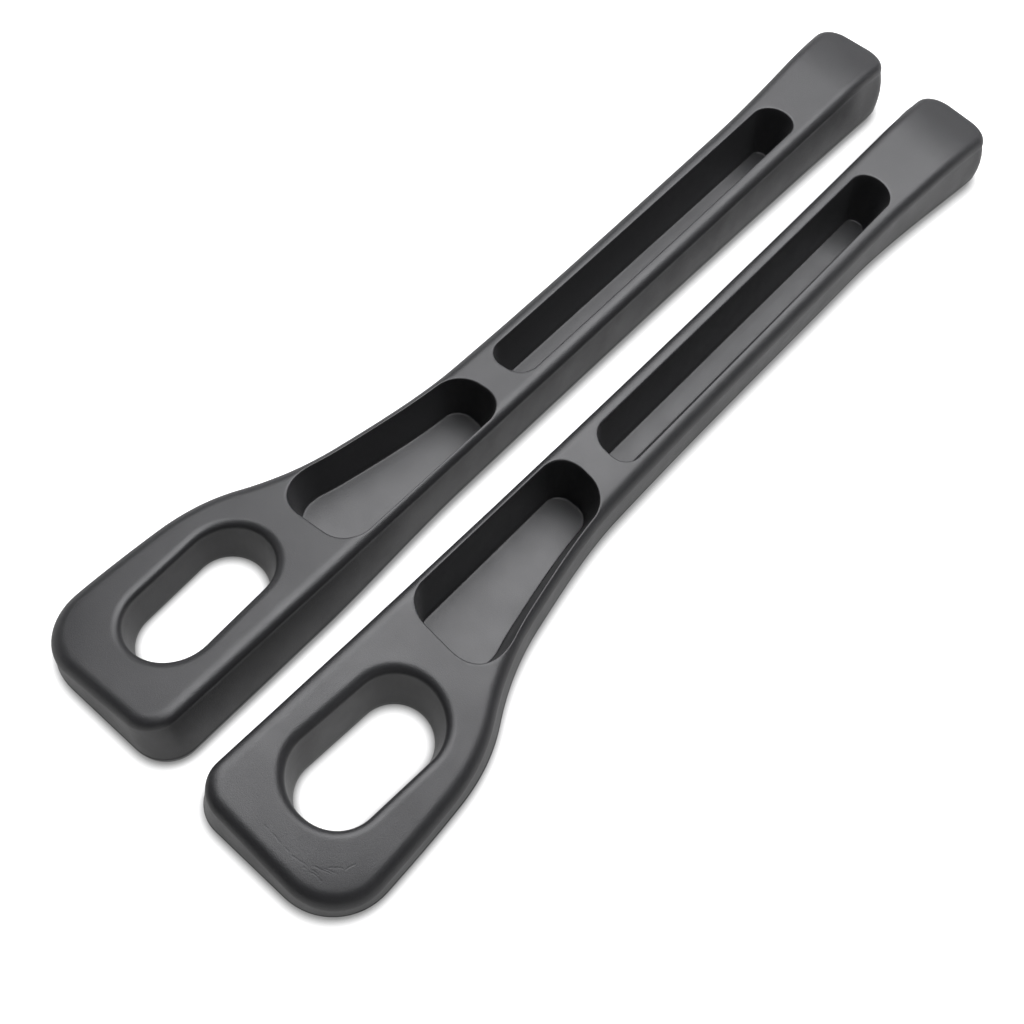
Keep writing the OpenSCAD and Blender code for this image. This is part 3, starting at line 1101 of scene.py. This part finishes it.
class GAPFILLER_OT_bars(bpy.types.Operator):
    """Makes the two moulded foam bars, left and right"""

    bl_idname = "gap_filler.bars"
    bl_label = "Make the Foam Bars"
    bl_options = {"REGISTER", "UNDO"}

    def execute(self, context):
        scene = context.scene
        bar, openings = scene.gap_filler_bar, scene.gap_filler_openings
        points, faces = bar_skin(in_millimetres(bar), in_millimetres(openings))
        tree = skin_tree()
        material = foam_material(scene.gap_filler_foam)
        for node, side, seed in BARS:
            mesh = bpy.data.meshes.new("flat_skin")
            mesh.from_pydata((points[:, :3] / MM_IN_M).tolist(), [], faces)
            lift = mesh.attributes.new("lift", "FLOAT", "POINT")
            lift.data.foreach_set("value", points[:, 3].astype(np.float32))
            mesh.shade_smooth()
            piece = new_object(f"{node}_foam", mesh)
            modifier = piece.modifiers.new("skin", "NODES")
            modifier.node_group = tree
            for name, (group, setting) in SKIN_INPUTS.items():
                set_input(modifier, name, getattr(getattr(scene, group), setting))
            set_input(modifier, "Side", side)
            set_input(modifier, "Seed", seed)
            set_input(modifier, "Material", material)
            view = context.evaluated_depsgraph_get()
            made = bpy.data.meshes.new_from_object(piece.evaluated_get(view))
            piece.modifiers.remove(modifier)
            piece.data = made
            bpy.data.meshes.remove(mesh)
            made.name = piece.name
            if not made.polygons or made.materials[0] != material:
                raise RuntimeError(f"the skin of {node} came out empty or bare")
            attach(piece, "root")
            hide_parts(node)
        return {"FINISHED"}


class GAPFILLER_OT_stage(bpy.types.Operator):
    """Makes the floor, the lights, the world and the camera"""

    bl_idname = "gap_filler.stage"
    bl_label = "Make the Studio"
    bl_options = {"REGISTER", "UNDO"}

    def execute(self, context):
        scene = context.scene
        studio = scene.gap_filler_studio

        mesh = bpy.data.meshes.new("studio_floor")
        corners = [(-1, -1), (1, -1), (1, 1), (-1, 1)]
        places = [(x * FLOOR_REACH, y * FLOOR_REACH, -FLOOR_GAP) for x, y in corners]
        mesh.from_pydata(places, [], [(0, 1, 2, 3)])
        mesh.materials.append(floor_material(studio))
        new_object("studio_floor", mesh)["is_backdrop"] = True

        for name, (setting, size, centre) in LAMPS.items():
            lamp = bpy.data.lights.new(name, "AREA")
            lamp.shape = "RECTANGLE"
            lamp.size, lamp.size_y = size
            lamp.energy = getattr(studio, setting)
            lamp.color = LAMP_COLOUR
            new_object(name, lamp).location = centre

        scene.world = studio_world(studio)

        camera = bpy.data.cameras.new("camera")
        camera.lens = CAMERA_LENS
        camera.sensor_width = CAMERA_SENSOR
        camera.clip_start = CAMERA_NEAR
        camera.dof.use_dof = False
        view = new_object("camera", camera)
        view.matrix_world = Matrix(CAMERA_PLACE)
        scene.camera = view
        scene.view_settings.view_transform = "Standard"
        return {"FINISHED"}


class GAPFILLER_PT_panel(bpy.types.Panel):
    """Lists the sizes and colours, and the buttons that make the pieces"""

    bl_idname = "GAPFILLER_PT_panel"
    bl_label = "Car Seat Gap Fillers"
    bl_space_type = "VIEW_3D"
    bl_region_type = "UI"
    bl_category = "Gap Fillers"

    def draw(self, context):
        for name, group in SETTINGS.items():
            box = self.layout.box()
            box.label(text=group.__doc__)
            for key in group.__annotations__:
                box.prop(getattr(context.scene, name), key)
        self.layout.operator(GAPFILLER_OT_bars.bl_idname)
        self.layout.operator(GAPFILLER_OT_stage.bl_idname)


CLASSES = (*SETTINGS.values(), GAPFILLER_OT_bars, GAPFILLER_OT_stage, GAPFILLER_PT_panel)


def register():
    for cls in CLASSES:
        bpy.utils.register_class(cls)
    for name, group in SETTINGS.items():
        setattr(bpy.types.Scene, name, PointerProperty(type=group))


def unregister():
    for name in SETTINGS:
        delattr(bpy.types.Scene, name)
    for cls in reversed(CLASSES):
        bpy.utils.unregister_class(cls)


def main():
    register()
    bpy.ops.gap_filler.bars()
    bpy.ops.gap_filler.stage()
    boxes = {"cad": CAD_BOX, "visual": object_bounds()}
    {k: [[float(x) for x in c] for c in b] for k, b in boxes.items()}


if __name__ == "__main__":
    main()
